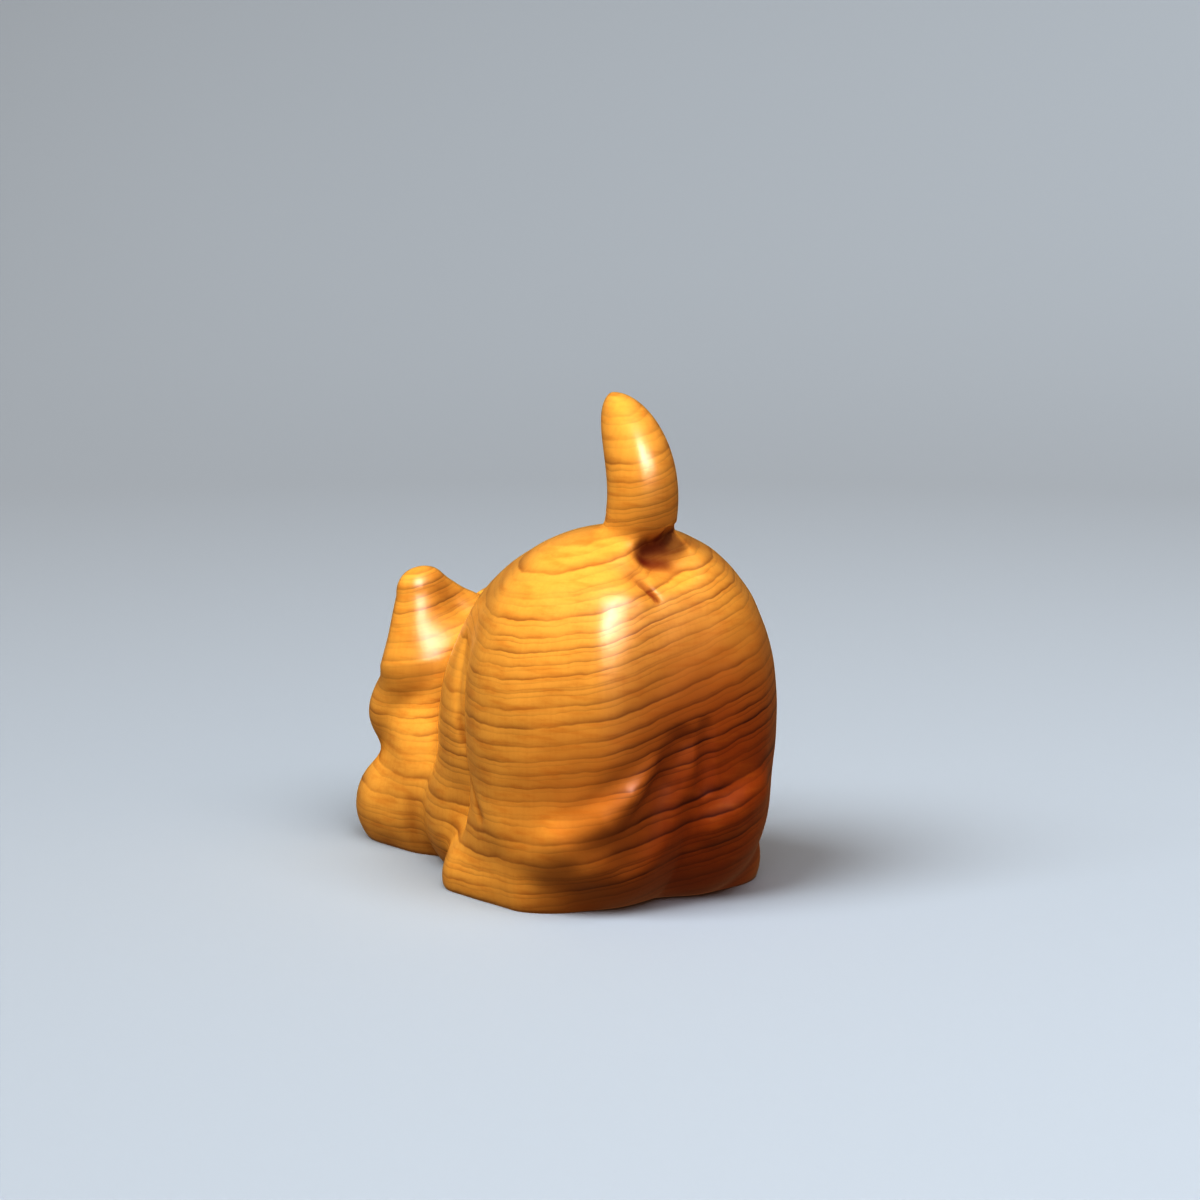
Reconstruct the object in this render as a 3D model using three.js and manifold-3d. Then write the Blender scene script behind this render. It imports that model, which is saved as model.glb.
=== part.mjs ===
// A palm-sized cat carved in wood: it crouches on a flat base with its rump and tail in the air
// and its head low over its forepaws. The cat faces -Y, +Z is up, and sizes are millimetres.
// The body is one carved block. The tail is a second piece, glued on over a dowel, and the eyes
// are two dark beads let into drilled holes.

import * as THREE from "three";
import { mergeVertices } from "three/addons/utils/BufferGeometryUtils.js";
import Module from "manifold-3d";

// Rump: an egg that stands on the base, with square shoulders
const rumpWidth = 35.5;
const rumpLength = 31.4;
const rumpHeight = 42.0;
const rumpCentreY = 4.5;
const rumpCentreZ = 19.45;
const rumpFullness = 2.25;

// Hind face: the rump is carved flatter behind, which leaves a soft upright edge on each haunch
const hindWidth = 80.0;
const hindLength = 40.0;
const hindHeight = 49.6;
const hindInset = 1.7;
const hindEdge = 1.2;

// Thighs: lumps low on the rump's sides
const thighWidth = 18.6;
const thighLength = 25.0;
const thighHeight = 22.0;
const thighInset = 2.6;
const thighSetBack = 1.0;
const thighCentreZ = 9.0;
const thighBlend = 2.5;

// Hock ridge of the left leg: it rises from the heel to where the legs meet
const hockRadius = 1.8;
const hockProud = 0.9;
const hockOutInset = 5.4;
const hockOutZ = 8.6;
const hockInX = 4.4;
const hockInZ = 15.2;
const hockBlend = 1.4;

// Hock ridge of the right leg, which is lower and rounder
const rightHockRadius = 2.0;
const rightHockProud = 0.4;
const rightHockOutX = -8.8;
const rightHockOutZ = 12.0;
const rightHockInX = -3.6;
const rightHockInZ = 9.2;

// Valley inside the left ridge, and the short line between the legs
const valleyRadius = 1.8;
const valleyDepth = 0.9;
const valleyInX = 1.3;
const valleyInZ = 18.4;
const valleyOutX = 7.2;
const valleyOutZ = 6.2;
const valleyBlend = 1.6;
const midlineRadius = 1.1;
const midlineDepth = 0.6;
const midlineX = -1.8;
const midlineTopZ = 19.6;
const midlineBottomZ = 13.8;
const midlineBlend = 1.2;

// Torso: belly and back ahead of the rump, with a crisp crease low on the flank that fades out
// over the back
const torsoWidth = 29.5;
const torsoLength = 27.6;
const torsoHeight = 40.6;
const torsoForward = 11.9;
const torsoCentreZ = 15.6;
const creaseBlend = 0.9;
const creaseTopZ = 22.0;
const backBlend = 6.7;
const backZ = 32.0;

// Chest below the head
const chestWidth = 19.0;
const chestLength = 18.0;
const chestHeight = 24.0;
const chestForward = 12.6;
const chestCentreZ = 10.0;
const chestBlend = 2.0;

// Elbows: lumps low on the flanks
const elbowWidth = 13.8;
const elbowLength = 16.4;
const elbowHeight = 15.0;
const elbowInset = 7.1;
const elbowForward = 5.0;
const elbowCentreZ = 5.6;
const elbowBlend = 1.5;

// Hind feet: flat on the base, pointing forwards and a little outwards
const heelRadius = 4.6;
const toeRadius = 4.8;
const footLength = 9.5;
const footInset = 6.2;
const footSplay = 1.5;
const heelSetBack = 1.9;
const footCentreZ = 1.4;
const footBlend = 2.6;

// Forelegs: upper arms beside the chest, shoulders above them and forepaws below the chin
const armWidth = 10.4;
const armLength = 12.0;
const armHeight = 19.0;
const armInset = 0.9;
const armForward = 2.0;
const armCentreZ = 6.0;
const armBlend = 2.2;
const shoulderWidth = 10.6;
const shoulderLength = 11.0;
const shoulderHeight = 13.0;
const shoulderInset = 1.6;
const shoulderForward = 2.6;
const shoulderRise = 4.6;
const shoulderBlend = 2.4;
const pawWidth = 12.4;
const pawLength = 15.8;
const pawHeight = 13.0;
const pawOut = 0.2;
const pawForward = 6.6;
const pawCentreZ = 3.9;
const pawBlend = 0.9;

// Head: a low round skull with full cheeks
const headWidth = 21.6;
const headLength = 20.4;
const headHeight = 19.6;
const headForward = 8.5;
const headRise = 8.0;
const neckBlend = 3.6;
const cheekWidth = 11.4;
const cheekLength = 13.0;
const cheekHeight = 11.4;
const cheekInset = 3.6;
const cheekDrop = 3.0;
const cheekForward = 1.0;
const cheekBlend = 2.0;

// Muzzle: two puffs, a nose above them and a chin below
const puffRadius = 2.4;
const puffSpread = 1.6;
const puffLength = 1.2;
const muzzleDrop = 2.6;
const muzzleProud = 1.3;
const muzzleDepth = 2.5;
const muzzleBlend = 0.8;
const noseRadius = 1.1;
const chinRadius = 1.7;

// Ears: blunt cones on the corners of the skull, hollowed in front
const earBaseRadius = 5.6;
const earTipRadius = 3.0;
const earHeight = 8.0;
const earInset = 3.4;
const earSplay = 1.0;
const earSink = 6.2;
const earSetBack = 1.6;
const earThinness = 1.3;
const earWebRadius = 2.2;
const earWebInset = 1.2;
const earWebRise = 0.5;
const earWebReach = 4.2;
const earWebDrop = 2.9;
const earWebBlend = 1.0;
const earBlend = 3.0;
const earHollowWidth = 4.8;
const earHollowHeight = 8.0;
const earHollowDepth = 1.1;
const earHollowReach = 3.0;
const earHollowBlend = 0.8;

// Eyes: bead plugs in drilled holes
const eyeRadius = 1.15;
const eyeDepth = 2.4;
const eyeProud = 0.45;
const eyeSpread = 4.3;
const eyeRise = 1.6;

// Tail: leans back out of the rump, then its tip curls forwards. It stands on a carved stump.
const tailRadius = 3.85;
const tailHeight = 12.7;
const tailCurl = 5.7;
const tailSetBack = 3.5;
const tailLean = 14;
const tailRootHandle = 5.7;
const tailTipHandleY = 3.1;
const tailTipHandleZ = 2.5;
const tailFullness = 2.6;
const tailCrestTurn = 32;
const tailCrestPower = 1.12;
const stumpHeight = 1.7;
const stumpBlend = 1.3;

// Notch behind the tail's root
const notchWidth = 7.0;
const notchLength = 6.5;
const notchHeight = 4.6;
const notchDepth = 1.0;
const notchOut = 1.0;
const notchBehind = 2.0;
const notchBlend = 2.0;

// Undercut round the back of the tail's foot: it climbs towards the right
const undercutRadius = 1.25;
const undercutOut = 0.3;
const undercutLeftTurn = 25;
const undercutRightTurn = -60;
const undercutLeftDrop = 0.7;
const undercutRightRise = 1.1;
const undercutBlend = 0.7;

// Dowel between the body and the tail, and the clearance of what is glued in
const dowelRadius = 1.25;
const dowelLength = 9.0;
const fitGap = 0.25;

// Base: the block is sawn flat, and its lower edge is eased
const sawnDepth = 0.2;
const baseEase = 0.6;

// Facets: the grid is finer over the face and the forepaws than over the rump
const faceStep = 1.25;
const rumpStep = 1.75;
const sideStep = 1.45;
const roundSides = 20;
const tailSides = 28;
const tailRings = 22;

// Centres that follow from the sizes above, each part set off from the one that carries it
const thighCentreX = rumpWidth / 2 - thighInset - thighWidth / 2;
const thighCentreY = rumpCentreY + thighSetBack;
const heelX = rumpWidth / 2 - footInset;
const heelY = rumpCentreY + heelSetBack;
const torsoCentreY = rumpCentreY - torsoForward;
const elbowCentreX = torsoWidth / 2 - elbowInset;
const chestCentreY = torsoCentreY - chestForward;
const armCentreX = chestWidth / 2 - armInset;
const armCentreY = chestCentreY - armForward;
const headCentreY = chestCentreY - headForward;
const headCentreZ = chestCentreZ + headRise;

// Longer than the whole cat, for lines that start outside it
const far = rumpLength + torsoLength + chestLength + headLength;

const wasm = await Module();
wasm.setup();

// Signed distances: each shape is a function of a point, and is negative inside

// Rounded lump with its full width, length and height. A fullness of 2 is an ellipsoid, and more
// than that squares its shoulders.
function lump(centre, size, fullness = 2) {
  const [a, b, c] = size.map((s) => s / 2);
  return (x, y, z) => {
    const [u, v, w] = [x - centre[0], y - centre[1], z - centre[2]];
    const around = Math.hypot(u / a, v / b);
    const upright = Math.abs(w / c);
    const near = (around ** fullness + upright ** fullness) ** (1 / fullness);
    if (near === 0) return -Math.min(a, b, c);
    const aroundSlope = around === 0 ? 0 : Math.hypot(u / (a * a), v / (b * b)) / around;
    const [outSlope, upSlope] = [around, upright].map((part) => (part / near) ** (fullness - 1));
    return (near - 1) / Math.hypot(outSlope * aroundSlope, upSlope / c);
  };
}

// Tapered rod with round ends, from one point to another
function rod(from, to, fromRadius, toRadius) {
  const along = to.map((v, i) => v - from[i]);
  const square = along[0] ** 2 + along[1] ** 2 + along[2] ** 2;
  return (x, y, z) => {
    const [u, v, w] = [x - from[0], y - from[1], z - from[2]];
    const t = THREE.MathUtils.clamp((u * along[0] + v * along[1] + w * along[2]) / square, 0, 1);
    const gap = Math.hypot(u - along[0] * t, v - along[1] * t, w - along[2] * t);
    return gap - (fromRadius + (toRadius - fromRadius) * t);
  };
}

// A shape and its mirror image on the other side of the cat
function pair(shape) {
  return (x, y, z) => shape(Math.abs(x), y, z);
}

// Smooth minimum of two distances: it rounds the inside corner between them to about a radius
function blend(a, b, radius) {
  const h = Math.max(radius - Math.abs(a - b), 0) / radius;
  return Math.min(a, b) - (h * h * radius) / 4;
}

// Smooth union of shapes
function join(radius, first, ...others) {
  return (x, y, z) => others.reduce((d, shape) => blend(d, shape(x, y, z), radius), first(x, y, z));
}

// Smooth cut: the tool is carved out of the shape, and the edge it leaves is rounded
function carve(radius, shape, tool) {
  const joined = join(radius, (x, y, z) => -shape(x, y, z), tool);
  return (x, y, z) => -joined(x, y, z);
}

// Smooth overlap of two shapes: what lies outside either is trimmed off
function trim(radius, a, b) {
  return (x, y, z) => -blend(-a(x, y, z), -b(x, y, z), radius);
}

// Point where a straight way from a point along a direction first meets a shape
function landOn(shape, from, direction) {
  const point = [...from];
  for (let step = 0; step < 400; step += 1) {
    const gap = shape(...point);
    if (gap < 1e-5) break;
    point.forEach((v, i) => (point[i] = v + direction[i] * gap * 0.8));
  }
  return point;
}

// Outward unit normal of a shape at a point
function normalOf(shape, [x, y, z]) {
  const e = 0.01;
  return new THREE.Vector3(
    shape(x + e, y, z) - shape(x - e, y, z),
    shape(x, y + e, z) - shape(x, y - e, z),
    shape(x, y, z + e) - shape(x, y, z - e),
  ).normalize();
}

// Haunches: rump and thighs, which carry the ridges, the valleys and the tail
const egg = lump([0, rumpCentreY, rumpCentreZ], [rumpWidth, rumpLength, rumpHeight], rumpFullness);
const hindCentreY = rumpCentreY + rumpLength / 2 - hindInset - hindLength / 2;
const hindFace = lump([0, hindCentreY, rumpCentreZ], [hindWidth, hindLength, hindHeight], rumpFullness);
const rump = trim(hindEdge, egg, hindFace);
const thigh = lump([thighCentreX, thighCentreY, thighCentreZ], [thighWidth, thighLength, thighHeight]);
const haunches = join(thighBlend, rump, pair(thigh));

// Rods end to end through points
function chain(points, radius) {
  const rods = points.slice(1).map((to, i) => rod(points[i], to, radius, radius));
  return (x, y, z) => Math.min(...rods.map((shape) => shape(x, y, z)));
}

// Rod along the back of the haunches, from one (x, z) to another, that stands proud by a distance
function backRod([fromX, fromZ], [toX, toZ], radius, proud) {
  const spans = 3;
  const points = Array.from({ length: spans + 1 }, (_, i) => {
    const x = THREE.MathUtils.lerp(fromX, toX, i / spans);
    const z = THREE.MathUtils.lerp(fromZ, toZ, i / spans);
    const [, y] = landOn(haunches, [x, far, z], [0, -1, 0]);
    return [x, y + proud - radius, z];
  });
  return chain(points, radius);
}

function hindquarters() {
  const hockOut = [rumpWidth / 2 - hockOutInset, hockOutZ];
  const hock = backRod(hockOut, [hockInX, hockInZ], hockRadius, hockProud);
  const rightHockOut = [rightHockOutX, rightHockOutZ];
  const rightHock = backRod(rightHockOut, [rightHockInX, rightHockInZ], rightHockRadius, rightHockProud);
  const groove = (from, to, radius, depth) => backRod(from, to, radius, 2 * radius - depth);
  const valley = groove([valleyInX, valleyInZ], [valleyOutX, valleyOutZ], valleyRadius, valleyDepth);
  const midlineTop = [midlineX, midlineTopZ];
  const midline = groove(midlineTop, [midlineX, midlineBottomZ], midlineRadius, midlineDepth);
  const ridged = join(hockBlend, haunches, hock, rightHock);
  return carve(midlineBlend, carve(valleyBlend, ridged, valley), midline);
}

function torso() {
  const belly = lump([0, torsoCentreY, torsoCentreZ], [torsoWidth, torsoLength, torsoHeight]);
  const chest = lump([0, chestCentreY, chestCentreZ], [chestWidth, chestLength, chestHeight]);
  const elbowPlace = [elbowCentreX, torsoCentreY - elbowForward, elbowCentreZ];
  const elbow = lump(elbowPlace, [elbowWidth, elbowLength, elbowHeight]);
  return join(elbowBlend, join(chestBlend, belly, chest), pair(elbow));
}

// Hindquarters and torso together, with a blend that widens with height
function trunk() {
  const hind = hindquarters();
  const fore = torso();
  return (x, y, z) => {
    const fade = THREE.MathUtils.smoothstep(z, creaseTopZ, backZ);
    return blend(hind(x, y, z), fore(x, y, z), THREE.MathUtils.lerp(creaseBlend, backBlend, fade));
  };
}

function limbs() {
  const heel = [heelX, heelY, footCentreZ];
  const toe = [heelX + footSplay, heelY - footLength, footCentreZ];
  const arm = lump([armCentreX, armCentreY, armCentreZ], [armWidth, armLength, armHeight]);
  const pawPlace = [armCentreX + pawOut, armCentreY - pawForward, pawCentreZ];
  const paw = lump(pawPlace, [pawWidth, pawLength, pawHeight]);
  const shoulderPlace = [armCentreX - shoulderInset, armCentreY - shoulderForward, armCentreZ + shoulderRise];
  const shoulder = lump(shoulderPlace, [shoulderWidth, shoulderLength, shoulderHeight]);
  return { foot: rod(heel, toe, heelRadius, toeRadius), arm, shoulder, paw };
}

// Ear: a blunt cone that leans outwards, with a web that slopes down from its tip to the skull, all
// of it thinner from front to back than across
function earShapes() {
  const y = headCentreY + earSetBack;
  const base = [headWidth / 2 - earInset, y, headCentreZ + headHeight / 2 - earSink];
  const tip = [base[0] + earSplay, y, base[2] + earHeight];
  const cone = rod(base, tip, earBaseRadius, earTipRadius);
  const webTop = [tip[0] - earWebInset, y, tip[2] + earWebRise];
  const webFoot = [webTop[0] - earWebReach, y, webTop[2] - earWebDrop];
  const webbed = join(earWebBlend, cone, rod(webTop, webFoot, earWebRadius, earWebRadius));
  const ear = (px, py, pz) => webbed(px, y + (py - y) * earThinness, pz);
  const middle = base.map((v, i) => (v + tip[i]) / 2);
  const [x, frontY, z] = landOn(ear, [middle[0], -far, middle[2]], [0, 1, 0]);
  const place = [x, frontY + earHollowDepth - earHollowReach, z];
  const hollow = lump(place, [earHollowWidth, 2 * earHollowReach, earHollowHeight]);
  return { ear, hollow };
}

// Skull, cheeks and ears, without the muzzle
function skull() {
  const ball = lump([0, headCentreY, headCentreZ], [headWidth, headLength, headHeight]);
  const cheekPlace = [headWidth / 2 - cheekInset, headCentreY - cheekForward, headCentreZ - cheekDrop];
  const cheek = lump(cheekPlace, [cheekWidth, cheekLength, cheekHeight]);
  const { ear, hollow } = earShapes();
  const eared = join(earBlend, join(cheekBlend, ball, pair(cheek)), pair(ear));
  return carve(earHollowBlend, eared, pair(hollow));
}

// Puffs lie side by side against the face, the nose above where they meet and the chin below
function withMuzzle(head) {
  const puffZ = headCentreZ - muzzleDrop;
  const [, faceY] = landOn(head, [puffSpread, -far, puffZ], [0, 1, 0]);
  const puffY = faceY - muzzleProud + puffRadius;
  const puffOuter = [puffSpread + puffLength, puffY, puffZ];
  const puff = rod([puffSpread, puffY, puffZ], puffOuter, puffRadius, puffRadius);
  const noseZ = puffZ + puffRadius;
  const noseY = faceY - muzzleProud + noseRadius;
  const nose = rod([0, noseY, noseZ], [0, noseY + muzzleDepth, noseZ + noseRadius], noseRadius, noseRadius);
  const chinZ = puffZ - puffRadius;
  const chin = rod([0, puffY, chinZ], [0, puffY + muzzleDepth, chinZ], chinRadius, chinRadius);
  return join(muzzleBlend, head, pair(puff), nose, chin);
}

// The tail's axis where it leaves the rump, the root on the rump and the joint on the stump
const lean = THREE.MathUtils.degToRad(tailLean);
const tailAxis = new THREE.Vector3(0, Math.sin(lean), Math.cos(lean));
const root = new THREE.Vector3(...landOn(haunches, [0, rumpCentreY + tailSetBack, far], [0, 0, -1]));
const joint = root.clone().addScaledVector(tailAxis, stumpHeight);

// The stump runs on above the joint, where it is cut off square
function stump() {
  const below = root.clone().addScaledVector(tailAxis, -tailRadius);
  const above = joint.clone().addScaledVector(tailAxis, stumpHeight);
  return rod(below.toArray(), above.toArray(), tailRadius, tailRadius);
}

function tailNotch() {
  const y = root.y + tailRadius + notchBehind;
  const [, , z] = landOn(haunches, [notchOut, y, far], [0, 0, -1]);
  return lump([notchOut, y, z - notchDepth + notchHeight / 2], [notchWidth, notchLength, notchHeight]);
}

// Rods round the back of the tail's foot, from a turn on the left of its back to one on the right
function undercut() {
  const spans = 2;
  const points = Array.from({ length: spans + 1 }, (_, i) => {
    const turn = THREE.MathUtils.degToRad(THREE.MathUtils.lerp(undercutLeftTurn, undercutRightTurn, i / spans));
    const x = root.x + (tailRadius + undercutOut) * Math.sin(turn);
    const y = root.y + (tailRadius + undercutOut) * Math.cos(turn);
    const [, , z] = landOn(haunches, [x, y, far], [0, 0, -1]);
    return [x, y, z + THREE.MathUtils.lerp(-undercutLeftDrop, undercutRightRise, i / spans)];
  });
  return chain(points, undercutRadius);
}

// The whole block before it is sawn flat and drilled
const { foot, arm, shoulder, paw } = limbs();
const head = skull();
const crouched = join(armBlend, join(footBlend, trunk(), pair(foot)), pair(arm));
const headed = join(shoulderBlend, join(neckBlend, crouched, withMuzzle(head)), pair(shoulder));
const notched = carve(notchBlend, join(pawBlend, headed, pair(paw)), tailNotch());
const standing = carve(undercutBlend, join(stumpBlend, notched, stump()), undercut());
const block = carve(baseEase, standing, (x, y, z) => z + sawnDepth);

// Lowest and highest corner of what a field encloses, found on a coarse and then a finer lattice
function reachOf(field) {
  let low = [-far, -far, -far];
  let high = [far, far, far];
  for (const step of [far / 16, far / 64]) {
    const count = low.map((v, axis) => Math.ceil((high[axis] - v) / step) + 1);
    const reach = new THREE.Box3();
    for (let n = 0; n < count[0] * count[1] * count[2]; n += 1) {
      const cell = [n % count[0], Math.floor(n / count[0]) % count[1], Math.floor(n / (count[0] * count[1]))];
      const point = cell.map((v, axis) => low[axis] + v * step);
      if (field(...point) < step) reach.expandByPoint(new THREE.Vector3(...point));
    }
    low = reach.min.subScalar(step).toArray();
    high = reach.max.addScalar(step).toArray();
  }
  return { low, high };
}

// Grid lines from low to high, with a step that follows the place
function gridLines(low, high, stepAt) {
  const lines = [low];
  while (lines.at(-1) < high) lines.push(lines.at(-1) + stepAt(lines.at(-1)));
  return lines;
}

// Same number of equal steps on each side of zero
function mirroredLines(half, step) {
  const count = Math.ceil(half / step);
  return Array.from({ length: 2 * count + 1 }, (_, i) => (i - count) * step);
}

// Closed mesh of the surface where a field is zero. Each grid cell that the surface crosses gets a
// corner for each separate sheet of it, and each crossed grid line gets a quad of four such corners.
function skin(field, lines) {
  const [nx, ny, nz] = lines.map((line) => line.length);
  const nodeAt = (i, j, k) => i + nx * (j + ny * k);
  const value = new Float64Array(nx * ny * nz);
  for (let k = 0; k < nz; k += 1) {
    for (let j = 0; j < ny; j += 1) {
      for (let i = 0; i < nx; i += 1) {
        value[nodeAt(i, j, k)] = field(lines[0][i], lines[1][j], lines[2][k]);
      }
    }
  }
  const strides = [1, nx, nx * ny];
  const cornerBits = [0, 1, 2, 3, 4, 5, 6, 7];
  const edgeOf = (axis, corner) => axis * cornerBits.length + corner;
  const axisOf = (edge) => Math.floor(edge / cornerBits.length);
  const startOf = (edge) => edge % cornerBits.length;
  const keyOf = (cell, edge) => cell * edgeOf(3, 0) + edge;
  const nodeOf = (cell, corner) => cell + strides.reduce((sum, s, a) => sum + s * ((corner >> a) & 1), 0);

  // Crossed edges of a cell in groups, one for each sheet of surface
  function sheetsOf(cell) {
    const inside = cornerBits.map((c) => value[nodeOf(cell, c)] < 0);
    if (inside.every((v) => v === inside[0])) return [];
    const group = new Map();
    for (const axis of [0, 1, 2]) {
      for (const c of cornerBits) {
        const starts = !((c >> axis) & 1);
        if (starts && inside[c] !== inside[c | (1 << axis)]) group.set(edgeOf(axis, c), edgeOf(axis, c));
      }
    }
    const merge = (a, b) => {
      const [from, to] = [group.get(a), group.get(b)];
      for (const [edge, g] of group) if (g === from) group.set(edge, to);
    };
    for (const axis of [0, 1, 2]) {
      const [b, d] = [0, 1, 2].filter((a) => a !== axis);
      for (const side of [0, 1]) {
        const corners = cornerBits.filter((c) => ((c >> axis) & 1) === side);
        const edgeFrom = (c, a) => edgeOf(a, c & ~(1 << a));
        const onSide = (e) => axisOf(e) !== axis && ((startOf(e) >> axis) & 1) === side;
        const crossed = [...group.keys()].filter(onSide);
        if (crossed.length === 2) merge(...crossed);
        if (crossed.length < 4) continue;
        for (const c of corners) if (inside[c]) merge(edgeFrom(c, b), edgeFrom(c, d));
      }
    }
    const sheets = new Map();
    for (const [edge, g] of group) sheets.set(g, [...(sheets.get(g) ?? []), edge]);
    return [...sheets.values()];
  }

  const positions = [];
  const cornerOf = new Map();
  const placeOf = (node) => [node % nx, Math.floor(node / nx) % ny, Math.floor(node / (nx * ny))];
  for (let k = 0; k < nz - 1; k += 1) {
    for (let j = 0; j < ny - 1; j += 1) {
      for (let i = 0; i < nx - 1; i += 1) {
        const cell = nodeAt(i, j, k);
        for (const edges of sheetsOf(cell)) {
          const sum = new THREE.Vector3();
          for (const edge of edges) {
            const [axis, c] = [axisOf(edge), startOf(edge)];
            const ends = [nodeOf(cell, c), nodeOf(cell, c | (1 << axis))];
            const [a, b] = ends.map((node) => new THREE.Vector3(...placeOf(node).map((n, q) => lines[q][n])));
            sum.add(a.lerp(b, value[ends[0]] / (value[ends[0]] - value[ends[1]])));
            cornerOf.set(keyOf(cell, edge), positions.length / 3);
          }
          positions.push(...sum.divideScalar(edges.length).toArray());
        }
      }
    }
  }
  settle(field, positions);

  const triangles = [];
  const apart = (p, q) => Math.hypot(...[0, 1, 2].map((a) => positions[3 * p + a] - positions[3 * q + a]));
  for (let node = 0; node < value.length; node += 1) {
    for (const axis of [0, 1, 2]) {
      if (placeOf(node)[axis] === lines[axis].length - 1) continue;
      const inside = value[node] < 0;
      if (inside === value[node + strides[axis]] < 0) continue;
      const [b, d] = [(axis + 1) % 3, (axis + 2) % 3];
      const around = [[0, 0], [1, 0], [1, 1], [0, 1]].map(([s, t]) => {
        const cell = node - s * strides[b] - t * strides[d];
        return cornerOf.get(keyOf(cell, edgeOf(axis, (s << b) + (t << d))));
      });
      const [p, q, r, s] = inside ? around : around.reverse();
      if (apart(p, r) < apart(q, s)) triangles.push(p, q, r, p, r, s);
      else triangles.push(q, r, s, q, s, p);
    }
  }
  return meshed(positions, triangles);
}

// Move each point on to the zero surface of a field along its slope
function settle(field, positions) {
  for (let n = 0; n < positions.length; n += 3) {
    for (let step = 0; step < 3; step += 1) {
      const point = positions.slice(n, n + 3);
      const move = normalOf(field, point).multiplyScalar(-field(...point) * 0.9);
      move.toArray().forEach((v, a) => (positions[n + a] += v));
    }
  }
}

function meshed(positions, triangles) {
  const geometry = new THREE.BufferGeometry();
  geometry.setAttribute("position", new THREE.Float32BufferAttribute(positions, 3));
  geometry.setIndex(triangles);
  return geometry;
}

// Solid for cutting, from a closed geometry placed by a matrix
function solidOf(geometry, matrix = new THREE.Matrix4()) {
  const placed = geometry.clone().applyMatrix4(matrix);
  placed.deleteAttribute("normal");
  placed.deleteAttribute("uv");
  const merged = mergeVertices(placed, 1e-5);
  const vertProperties = new Float32Array(merged.attributes.position.array);
  const triVerts = new Uint32Array(merged.index.array);
  return new wasm.Manifold(new wasm.Mesh({ numProp: 3, vertProperties, triVerts }));
}

function geometryOf(solid) {
  const { vertProperties, triVerts } = solid.getMesh();
  return meshed(vertProperties, [...triVerts]);
}

// Matrix that carries +Y to a direction and the origin to a place
function standAt(place, direction) {
  const turn = new THREE.Quaternion().setFromUnitVectors(new THREE.Vector3(0, 1, 0), direction);
  return new THREE.Matrix4().compose(place, turn, new THREE.Vector3(1, 1, 1));
}

// Tail: sections along a curve that leaves the joint square and curls forwards at its tip. The
// sections are round at the root, and draw in between four soft crests towards the tip.
function tailGeometry() {
  const start = joint.clone().addScaledVector(tailAxis, fitGap);
  const tip = new THREE.Vector3(0, joint.y - tailCurl, joint.z + tailHeight);
  const leave = start.clone().addScaledVector(tailAxis, tailRootHandle);
  const arrive = tip.clone().add(new THREE.Vector3(0, tailTipHandleY, -tailTipHandleZ));
  const line = new THREE.CubicBezierCurve3(start, leave, arrive, tip);
  const turn = THREE.MathUtils.degToRad(tailCrestTurn);
  const side = new THREE.Vector3(1, 0, 0);
  const positions = start.toArray();
  for (let ring = 0; ring < tailRings; ring += 1) {
    const u = Math.sin((Math.PI / 2) * (ring / tailRings));
    const along = ring === 0 ? tailAxis : line.getTangent(u);
    const behind = along.clone().cross(side);
    const radius = tailRadius * Math.sqrt(1 - u ** tailFullness);
    const power = 2 * THREE.MathUtils.lerp(1, tailCrestPower, u);
    for (let n = 0; n < tailSides; n += 1) {
      const angle = (2 * Math.PI * n) / tailSides;
      const [c, s] = [Math.abs(Math.cos(angle - turn)), Math.abs(Math.sin(angle - turn))];
      const reach = radius * (c ** power + s ** power) ** (1 / power);
      const point = line.getPoint(u).addScaledVector(side, Math.sin(angle) * reach);
      positions.push(...point.addScaledVector(behind, Math.cos(angle) * reach).toArray());
    }
  }
  positions.push(...tip.toArray());
  const last = tailRings * tailSides + 1;
  const at = (ring, n) => 1 + ring * tailSides + (n % tailSides);
  const triangles = [];
  for (let n = 0; n < tailSides; n += 1) {
    triangles.push(0, at(0, n), at(0, n + 1));
    for (let ring = 0; ring < tailRings - 1; ring += 1) {
      triangles.push(at(ring, n), at(ring + 1, n), at(ring + 1, n + 1));
      triangles.push(at(ring, n), at(ring + 1, n + 1), at(ring, n + 1));
    }
    triangles.push(at(tailRings - 1, n), last, at(tailRings - 1, n + 1));
  }
  return meshed(positions, triangles);
}

// Cylinder about the tail's axis, with its middle at the joint
const dowelMiddle = joint.clone().addScaledVector(tailAxis, fitGap / 2);
function dowelShape(clearance) {
  const radius = dowelRadius + clearance;
  return new THREE.CylinderGeometry(radius, radius, dowelLength + 2 * clearance, roundSides);
}

// Eye bead: a short plug with a domed front, standing on +Y
function eyeGeometry() {
  const domePoints = 5;
  const profile = [new THREE.Vector2(0, -eyeDepth), new THREE.Vector2(eyeRadius, -eyeDepth)];
  for (let n = 0; n < domePoints; n += 1) {
    const angle = (Math.PI / 2) * (n / domePoints);
    profile.push(new THREE.Vector2(eyeRadius * Math.cos(angle), eyeProud * Math.sin(angle)));
  }
  profile.push(new THREE.Vector2(0, eyeProud));
  return new THREE.LatheGeometry(profile, roundSides);
}

function eyeMatrix(side) {
  const face = landOn(head, [side * eyeSpread, -far, headCentreZ + eyeRise], [0, 1, 0]);
  return standAt(new THREE.Vector3(...face), normalOf(head, face));
}

// Grid for the body's facets, from its own reach
const { low, high } = reachOf(block);
const stepAlong = (y) => THREE.MathUtils.clamp(
  THREE.MathUtils.mapLinear(y, chestCentreY, rumpCentreY, faceStep, rumpStep), faceStep, rumpStep);
const grid = [
  mirroredLines(high[0], sideStep),
  gridLines(low[1], high[1], stepAlong),
  gridLines(low[2], high[2], () => sideStep),
];

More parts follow.
